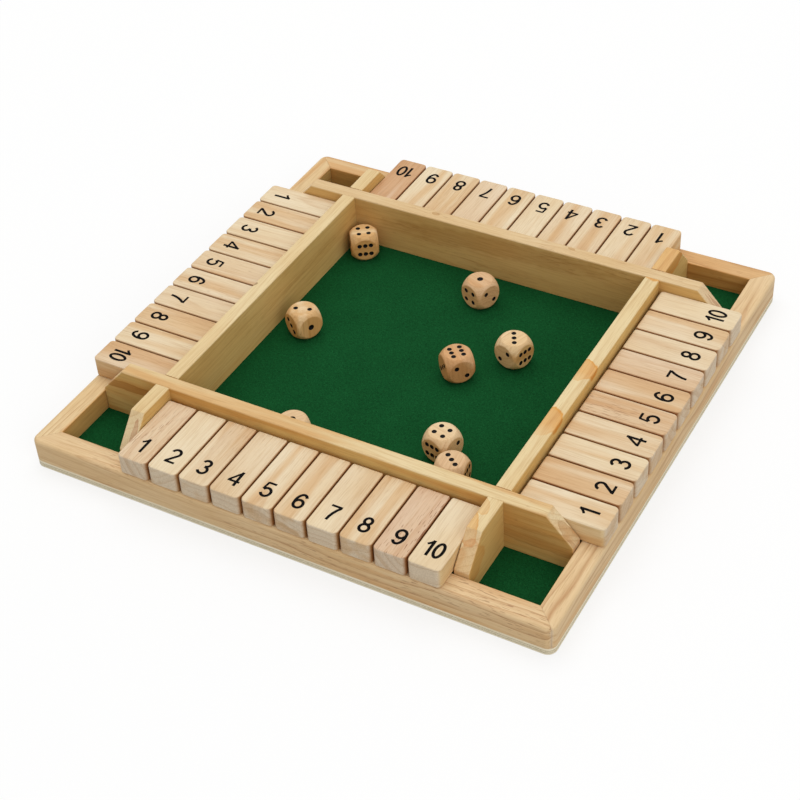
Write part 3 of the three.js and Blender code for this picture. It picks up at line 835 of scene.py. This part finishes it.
def tile_blank(width):
    """A tile with its rod's axis at the origin and its numbered end towards -Y."""
    half = TILE_THICKNESS / 2

    def drawn_in(radius, distance):
        """How far a rounded arris of that radius draws in at a distance from the tile's end."""
        return radius - math.sqrt(radius ** 2 - max(radius - distance, 0) ** 2)

    distances = [TILE_CORNER * (1 - math.cos(math.radians(90 * step / CORNER_STEPS)))
                 for step in range(CORNER_STEPS + 1)]
    back = [(ROD_SETBACK - distance, distance,
             drawn_in(TILE_BACK_ROUND, distance) * TILE_BACK_DEPTH / TILE_BACK_ROUND)
            for distance in distances]
    front = [(ROD_SETBACK - TILE_LENGTH + distance, distance, drawn_in(TILE_ARRIS, distance))
             for distance in reversed(distances)]
    rings = []
    for y, distance, above in back + front:
        side, under = drawn_in(TILE_CORNER, distance), drawn_in(TILE_ARRIS, distance)
        outline = rounded_rectangle(
            (side - width / 2, under - half), (width / 2 - side, half - above), TILE_ARRIS, 4)
        rings.append([(x, y, z) for x, z in outline])
    return loft(rings)


def bend(x, y, wide, high, start, end, steps=24):
    """Points of an elliptical bow of a numeral, in degrees from its right side upwards."""
    angles = [math.radians(start + (end - start) * i / steps) for i in range(steps + 1)]
    return [(x + wide * math.cos(a), y + high * math.sin(a)) for a in angles]


# Each numeral's strokes, with their width, in shares of its height from the middle of its foot.
BOWL_OF_SIX = [(bend(0.015, 0.315, 0.25, 0.255, 0, 345, 23), STROKE, True)]
STEM_OF_SIX = [([*bend(0.03, 0.48, 0.28, 0.46, 40, 180), (-0.235, 0.315)], STROKE, False)]
NUMERALS = {
    0: [(bend(0, 0.5, 0.25, 0.44, 0, 352.5, 47), STROKE, True)],
    1: [([(0.072, 0), (0.072, 1)], STROKE, False),
        ([(0.08, 0.97), (-0.02, 0.84), (-0.13, 0.75), (-0.236, 0.69)], 0.126, False)],
    2: [([*bend(0, 0.71, 0.245, 0.232, 170, -32), (-0.235, 0.085)], STROKE, False),
        ([(-0.31, 0.058), (0.31, 0.058)], 0.13, False)],
    3: [(bend(-0.01, 0.737, 0.22, 0.203, 165, -95), STROKE, False),
        (bend(0, 0.288, 0.255, 0.23, 95, -162), STROKE, False)],
    4: [([(0.166, 0), (0.166, 1)], STROKE, False),
        ([(-0.345, 0.296), (0.345, 0.296)], 0.126, False),
        ([(0.165, 0.93), (-0.3, 0.3)], 0.126, False)],
    5: [([(-0.2, 0.942), (0.27, 0.942)], 0.13, False),
        ([(-0.185, 0.97), (-0.25, 0.49)], 0.118, False),
        (bend(0.01, 0.327, 0.26, 0.27, 150, -158), STROKE, False)],
    6: BOWL_OF_SIX + STEM_OF_SIX,
    7: [([(-0.31, 0.942), (0.31, 0.942)], 0.13, False),
        ([(0.265, 0.915), (0.12, 0.71), (0.01, 0.47), (-0.055, 0.24), (-0.085, 0)], STROKE, False)],
    8: [(bend(0, 0.737, 0.2, 0.205, 0, 345, 23), STROKE, True),
        (bend(0, 0.291, 0.25, 0.232, 0, 345, 23), STROKE, True)],
    9: [([(-x, 1 - y) for x, y in path], width, closed)
        for path, width, closed in BOWL_OF_SIX + STEM_OF_SIX],
}
# Ten is printed as two digits, each with its place beside the middle.
TEN_DIGITS = [(1, -0.275), (0, 0.22)]


def stroke(path, width, closed):
    """Rings of a flat stroke along a path: each is its section where the path bends, as corners
    with their level, which is -1 below and 1 above the middle of the film."""
    points = [Vector(point) for point in path]
    rings = []
    for i, point in enumerate(points):
        before = points[i - 1] if i or closed else point
        after = points[(i + 1) % len(points)] if i < len(points) - 1 or closed else point
        arriving = (point - before if before != point else after - point).normalized()
        leaving = (after - point).normalized() if after != point else arriving
        middle = (arriving + leaving).normalized()
        aside = Vector((-middle.y, middle.x)) * width / 2 / middle.dot(leaving)
        rings.append([(point + sign * aside, level)
                      for sign, level in ((1, -1), (-1, -1), (-1, 1), (1, 1))])
    return rings


def numeral(value):
    """The overlapping strokes of a printed numeral, centred on a tile's numbered end."""
    parts = []
    digits, wide = [(value, 0)], NUMERAL_WIDTH
    if value == TILE_COUNT:
        digits, wide = TEN_DIGITS, TEN_WIDTH
    for digit, place in digits:
        for path, width, closed in NUMERALS[digit]:
            scaled = [(x * wide + place, y) for x, y in path]
            rings = [[(
                point.x * CAP_HEIGHT,
                ROD_SETBACK - TILE_LENGTH + NUMERAL_FOOT + point.y * CAP_HEIGHT,
                TILE_THICKNESS / 2 + level * INK_DEPTH,
            ) for point, level in ring] for ring in stroke(scaled, width, closed)]
            parts.append(loft(rings, closed))
    joined = bmesh.new()
    for part in parts:
        joined.from_mesh(part)
    mesh = bpy.data.meshes.new("numeral")
    joined.to_mesh(mesh)
    joined.free()
    return mesh


tree, given = geometry_tree("hinged tile", {
    "Numeral": "Object", "Bore": "Float", "Heart": "Vector", "Cast": "Vector", "Open": "Float",
    "Rubbed": "Float", "Place": "Vector", "Turn": "Vector", "Wood": "Material",
    "Ink": "Material"})
drill = add(tree, "GeometryNodeMeshCylinder", {
    "Vertices": DRILL_STEPS, "Radius": given["Bore"], "Depth": 2 * TILE_LENGTH})
laid_drill = add(tree, "GeometryNodeTransform", {
    "Geometry": drill.outputs["Mesh"], "Rotation": (0, math.pi / 2, 0)})
bored = add(tree, "GeometryNodeMeshBoolean", operation="DIFFERENCE", solver="EXACT", sockets={
    "Mesh 1": given["Geometry"], "Mesh 2": laid_drill})
point = add(tree, "ShaderNodeSeparateXYZ", {0: add(tree, "GeometryNodeInputPosition")})
lengthwise = add(tree, "ShaderNodeCombineXYZ", {
    "X": point.outputs["Y"], "Y": point.outputs["X"], "Z": point.outputs["Z"]})
in_log = add(tree, "ShaderNodeVectorMath", operation="MULTIPLY_ADD", sockets={
    0: lengthwise, 1: (1 / MM, 1 / MM, 1 / MM), 2: given["Heart"]})
facing = add(tree, "ShaderNodeSeparateXYZ", {0: add(tree, "GeometryNodeInputNormal")}).outputs
endwise = add(tree, "ShaderNodeMath", {0: facing["Y"]}, operation="ABSOLUTE")

# Painted shade: a tile's sides that face a neighbour across the narrow gap are marked to be
# stained brown, but the side that ends a rack has none and stays unshaded.
sideways = add(tree, "ShaderNodeMath", {0: facing["X"]}, operation="ABSOLUTE")
towards_open = add(tree, "ShaderNodeMath", {0: facing["X"], 1: given["Open"]}, operation="MULTIPLY")
opened = add(tree, "ShaderNodeMath", {0: towards_open, 1: 0.0}, operation="MAXIMUM")
inward = add(tree, "ShaderNodeMath", operation="MULTIPLY_ADD", use_clamp=True, sockets={
    0: opened, 1: -2, 2: sideways})
gap_shaded = add(tree, "ShaderNodeMath", {0: inward, 1: given["Rubbed"]}, operation="MULTIPLY")
marked = bored.outputs["Mesh"]
for stored, kind, domain, value in (
        ("log", "FLOAT_VECTOR", "POINT", in_log), ("cast", "FLOAT_VECTOR", "POINT", given["Cast"]),
        ("end", "FLOAT", "FACE", endwise), ("rubbed", "FLOAT", "FACE", gap_shaded)):
    marked = add(tree, "GeometryNodeStoreNamedAttribute", data_type=kind, domain=domain, sockets={
        "Geometry": marked, "Name": stored, "Value": value})

# The numeral's overlapping strokes become one film of ink, and the tile is set on its rod.
strokes = add(tree, "GeometryNodeObjectInfo", {"Object": given["Numeral"]})
printed = add(tree, "GeometryNodeMeshBoolean", operation="UNION", solver="EXACT", sockets={
    "Mesh 2": strokes.outputs["Geometry"], "Self Intersection": True})
inked = add(tree, "GeometryNodeSetMaterial", {
    "Geometry": printed.outputs["Mesh"], "Material": given["Ink"]})
both = add(tree, "GeometryNodeJoinGeometry", {"Geometry": marked})
tree.links.new(inked.outputs[0], both.inputs[0])
hinged = add(tree, "GeometryNodeTransform", {
    "Geometry": both, "Translation": given["Place"], "Rotation": given["Turn"]})
real = add(tree, "GeometryNodeRealizeInstances", {"Geometry": hinged})
is_ink = add(tree, "GeometryNodeMaterialSelection", {"Material": given["Ink"]})
is_wood = add(tree, "FunctionNodeBooleanMath", {0: is_ink}, operation="NOT")
finished = add(tree, "GeometryNodeSetMaterial", {
    "Geometry": real, "Selection": is_wood, "Material": given["Wood"]})
add(tree, "NodeGroupOutput", {0: finished})

# Planed pine of the tiles: the palest of the board, with wide soft lines, and sides stained a
# deeper yellow as painted shade.
tile_pine = pine(
    "planed pine of the tiles", pale="#ecdbbb", honey="#e0c196", late="#cca274", ring=5,
    line_share=0.42, side_shade_share=0.6)
# Each tile's cast, from 1 to 10, and how deep the painted shade in its rack's gaps is.
TILE_CASTS = {
    "near": [(0.5, 0, 0.5), (0, 0.3, 0.1), (0.1, 0.45, 0.2), (0.1, -0.1, 0.2), (0.1, 0.45, 0.1),
             (0.1, 0.65, 0.1), (0, -0.3, 0.1), (0.1, 0.7, 0.2), (1, 0, 1), (0, -0.1, 0.1)],
    "right": [(0.1, 0.65, 0.1), (0.3, 1, 0.2), (0, 0.4, 0.1), (0.2, 0.75, 0.2), (0.6, 0.65, 0.6),
              (0.4, 0.73, 0.3), (0.7, 0.45, 0.3), (0.2, 0, 0.1), (0.2, 0.74, 0.2), (0, -0.1, 0.1)],
    "far": [(0, 0.7, 0.1), (0, 0.35, 0.1), (0.2, 0.75, 0.2), (0.2, 0.45, 0.3), (0, 0.4, 0.1),
            (0, 0.45, 0.1), (0.5, 0, 0.3), (0, 0.65, 0.2), (0, 0.6, 0.1), (1, 0.7, 0.6)],
    "left": [(0, 0.4, 0.1), (0.1, 0.8, 0.2), (0, 0.15, 0.1), (0.1, 0.6, 0.2), (0.3, 0.25, 0.2),
             (0.2, 0.6, 0.3), (0.2, 0, 0.2), (0.1, 0.95, 0.3), (0, 0.65, 0.2), (0.5, 0.6, 0.3)],
}
TILE_GAP_SHADE = {"near": 1, "right": 1, "far": 0.9, "left": 0.8}

# Printing ink: a thin matt black film that lets a little of the grain's unevenness through.
ink = bpy.data.materials.new("black printing ink")
ink_tree = bare_tree(ink)
place = add(ink_tree, "ShaderNodeTexCoord").outputs["Object"]
cover = add(ink_tree, "ShaderNodeTexNoise", {"Vector": place, "Scale": 1 / INK_GRAIN, "Detail": 2})
colour = add(ink_tree, "ShaderNodeValToRGB", {"Fac": cover}, [
    (0.35, INK_BLACK), (0.75, INK_WORN)])
surface = add(ink_tree, "ShaderNodeBsdfPrincipled", {
    "Base Color": colour, "Roughness": 0.7, "Specular IOR Level": 0.05})
add(ink_tree, "ShaderNodeOutputMaterial", {"Surface": surface})

# Each tile is cut from a place of its own: so many millimetres along the log, up to so many beside
# its heart, and between so many above or below it.
LOG_LENGTH = 3000
BESIDE_HEART = 45
FROM_HEART = (18, 60)
low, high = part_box("tile_near_01")
blank = tile_blank(high.x - low.x)
open_sides = {1: -1.0, TILE_COUNT: 1.0}
chance = random.Random(7)
for value in range(1, TILE_COUNT + 1):
    figure = bpy.data.objects.new("figure", numeral(value))
    bpy.context.scene.collection.objects.link(figure)
    for index, side in enumerate(SIDES):
        name = f"tile_{side}_{value:02d}"
        turn = Matrix.Rotation(index * math.pi / 2, 3, "Z")
        low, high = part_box(name)
        along = turn.transposed() @ ((low + high) / 2)
        place = turn @ Vector((along.x, -ROD_DISTANCE, ROD_HEIGHT))
        heart = (chance.uniform(0, LOG_LENGTH), chance.uniform(-BESIDE_HEART, BESIDE_HEART),
                 chance.choice((-1, 1)) * chance.uniform(*FROM_HEART))
        mesh = grown(
            blank.copy(), tree, Numeral=figure, Bore=BORE_RADIUS, Heart=heart,
            Cast=TILE_CASTS[side][value - 1], Open=open_sides.get(value, 0.0),
            Rubbed=TILE_GAP_SHADE[side], Place=place, Turn=(0, 0, index * math.pi / 2),
            Wood=tile_pine, Ink=ink)
        show(f"block_{side}_{value:02d}", mesh, None, name, "pine_tile", name)
    bpy.data.objects.remove(figure)

# Dice: eight blocks of a pale close hardwood, tumbled with their corners turned to a ball, so
# that each flat is a circle. The pips are drilled shallow with a round-nosed bit and painted.
DIE_SIDE = 18 * MM
DIE_BALL_RADIUS = 11.8 * MM
DIE_CREASE = 0.3 * MM
DIE_CELLS = 44
PIP_RADIUS = 1.5 * MM
PIP_DEPTH = 0.7 * MM
ONE_PIP_SHARE = 1.3
PIP_HALF_SPACING = 3.15 * MM
SIX_ROW_SPACING = 3.7 * MM
PIP_PAINT = "#070606"
PAINT_POOL = 0.7 * MM
SIX_ROWS = [row * SIX_ROW_SPACING / PIP_HALF_SPACING for row in (-1, 0, 1)]
# Each face's number: the way it faces, the way across it, and its pips as half spacings.
DIE_FACES = {
    1: ((0, 0, 1), (1, 0, 0), ((0, 0),)),
    2: ((0, -1, 0), (1, 0, 0), ((-1, 1), (1, -1))),
    3: ((1, 0, 0), (0, 1, 0), ((-1, -1), (0, 0), (1, 1))),
    4: ((-1, 0, 0), (0, -1, 0), ((-1, -1), (-1, 1), (1, -1), (1, 1))),
    5: ((0, 1, 0), (-1, 0, 0), ((0, 0), (-1, -1), (-1, 1), (1, -1), (1, 1))),
    6: ((0, 0, -1), (0, 1, 0), [(row, column) for row in SIX_ROWS for column in (-1, 1)]),
}
# How each die lies: the numbers on top and on its right, its turn in degrees, and its wood.
DICE = [
    {"top": 4, "right": 6, "turn": -53.8, "heart": (0, 14, 9), "cast": (0, 0.9, 0.2)},
    {"top": 2, "right": 1, "turn": -28.2, "heart": (90, 4, 16), "cast": (0, 0.7, 0.3)},
    {"top": 1, "right": 2, "turn": -21.4, "heart": (180, -12, 7), "cast": (0.8, 0.2, 0.4)},
    {"top": 6, "right": 2, "turn": -42.7, "heart": (270, 18, -6), "cast": (1, 0.85, 0.3)},
    {"top": 3, "right": 6, "turn": -17.5, "heart": (360, -8, -15), "cast": (0, 0.3, 0.2)},
    {"top": 4, "right": 2, "turn": -13.8, "heart": (450, 10, 12), "cast": (0.2, 0.1, 0.2)},
    {"top": 3, "right": 6, "turn": 8.4, "heart": (540, -16, 5), "cast": (0.6, 0, 0.2)},
    {"top": 1, "right": 3, "turn": -35, "heart": (630, 6, -14), "cast": (0.4, 0.3, 0.2)},
]


def flattened(value):
    """A coordinate of the ball, held back by the die's flats with a softened crease."""
    reach = abs(value)
    share = max(DIE_CREASE - abs(reach - DIE_SIDE / 2), 0) / DIE_CREASE
    held = min(reach, DIE_SIDE / 2) - share ** 2 * DIE_CREASE / 4
    return math.copysign(held, value)


work = bmesh.new()
bmesh.ops.create_cube(work, size=2)
bmesh.ops.subdivide_edges(work, edges=work.edges, cuts=DIE_CELLS - 1, use_grid_fill=True)
for vertex in work.verts:
    spread = Vector(math.tan(c * math.pi / 4) for c in vertex.co)
    vertex.co = Vector(flattened(c) for c in spread.normalized() * DIE_BALL_RADIUS)
bit_radius = (PIP_RADIUS ** 2 + PIP_DEPTH ** 2) / (2 * PIP_DEPTH)
size_of = work.verts.layers.float.new("bit size")
for value, (outwards, across, places) in DIE_FACES.items():
    outwards, across = Vector(outwards), Vector(across)
    share = ONE_PIP_SHARE if value == 1 else 1
    for u, v in places:
        place = outwards * DIE_SIDE / 2 + PIP_HALF_SPACING * (
            across * u + outwards.cross(across) * v)
        lift = outwards * (bit_radius - PIP_DEPTH) * share
        work.verts.new(place + lift)[size_of] = share
die_mesh = bpy.data.meshes.new("die")
work.to_mesh(die_mesh)
work.free()

# One round-nosed bit stands on every loose point of the die, and its room is drilled out.
tree, given = geometry_tree("drilled die", {
    "Bit": "Float", "Wood": "Material", "Paint": "Material"})
neighbours = add(tree, "GeometryNodeInputMeshVertexNeighbors").outputs["Face Count"]
is_pip = add(tree, "FunctionNodeCompare", data_type="INT", operation="EQUAL", sockets={
    "A": neighbours, "B": 0})
parted = add(tree, "GeometryNodeSeparateGeometry", {
    "Geometry": given["Geometry"], "Selection": is_pip})
bit = add(tree, "GeometryNodeMeshUVSphere", {
    "Segments": DRILL_STEPS, "Rings": 24, "Radius": given["Bit"]})
bit_size = add(tree, "GeometryNodeInputNamedAttribute", {"Name": "bit size"}, data_type="FLOAT")
bits = add(tree, "GeometryNodeInstanceOnPoints", {
    "Points": parted.outputs["Selection"], "Instance": bit.outputs["Mesh"],
    "Scale": bit_size.outputs["Attribute"]})
all_bits = add(tree, "GeometryNodeRealizeInstances", {"Geometry": bits})
painted = add(tree, "GeometryNodeSetMaterial", {
    "Geometry": all_bits, "Material": given["Paint"]})
bare = add(tree, "GeometryNodeSetMaterial", {
    "Geometry": parted.outputs["Inverted"], "Material": given["Wood"]})
pitted = add(tree, "GeometryNodeMeshBoolean", operation="DIFFERENCE", solver="EXACT", sockets={
    "Mesh 1": bare, "Mesh 2": painted})
real = add(tree, "GeometryNodeRealizeInstances", {"Geometry": pitted.outputs["Mesh"]})
is_paint = add(tree, "GeometryNodeMaterialSelection", {"Material": given["Paint"]})
is_wood = add(tree, "FunctionNodeBooleanMath", {0: is_paint}, operation="NOT")
finished = add(tree, "GeometryNodeSetMaterial", {
    "Geometry": real, "Selection": is_wood, "Material": given["Wood"]})
add(tree, "NodeGroupOutput", {0: finished})

# Tumbled beech: close and pale, with fine year lines that ring the rounded corners, and sides
# stained a deeper yellow as painted shade. Its end grain hardly shows.
die_wood = pine(
    "tumbled beech of the dice", pale="#eed3a8", honey="#dfb67e", late="#bf8f5e", ring=2.6,
    line_share=0.45, side_shade_share=0.55, end_share=0.1, side_shade_tone="#fde2b0")

# Pip paint: thin black enamel, brushed into the drilled dimples and dried nearly matt.
enamel = bpy.data.materials.new("black enamel paint")
paint_tree = bare_tree(enamel)
place = add(paint_tree, "ShaderNodeTexCoord").outputs["Object"]
pool = add(paint_tree, "ShaderNodeTexNoise", {
    "Vector": place, "Scale": 1 / PAINT_POOL, "Detail": 1})
rough = add(paint_tree, "ShaderNodeMapRange", {"Value": pool, "To Min": 0.45, "To Max": 0.65})
surface = add(paint_tree, "ShaderNodeBsdfPrincipled", {
    "Base Color": linear(PIP_PAINT), "Roughness": rough, "Specular IOR Level": 0.12})
add(paint_tree, "ShaderNodeOutputMaterial", {"Surface": surface})

drilled_die = grown(die_mesh, tree, Bit=bit_radius, Wood=die_wood, Paint=enamel)
for number, lie in enumerate(DICE, 1):
    low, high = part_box(f"die_{number}")
    top, right = (Vector(DIE_FACES[lie[way]][0]) for way in ("top", "right"))
    tumbled = Matrix((right, top.cross(right), top))
    turn = Matrix.Rotation(math.radians(lie["turn"]), 3, "Z") @ tumbled
    mesh = drilled_die.copy()
    mesh.transform(Matrix.Translation((low + high) / 2) @ turn.to_4x4())
    sawn(mesh, turn @ Vector((0, 1, 0)), lie["heart"], lie["cast"])
    show(f"wooden_die_{number}", mesh, None, f"die_{number}", "die_wood", f"die_{number}",
         flat_width=0)
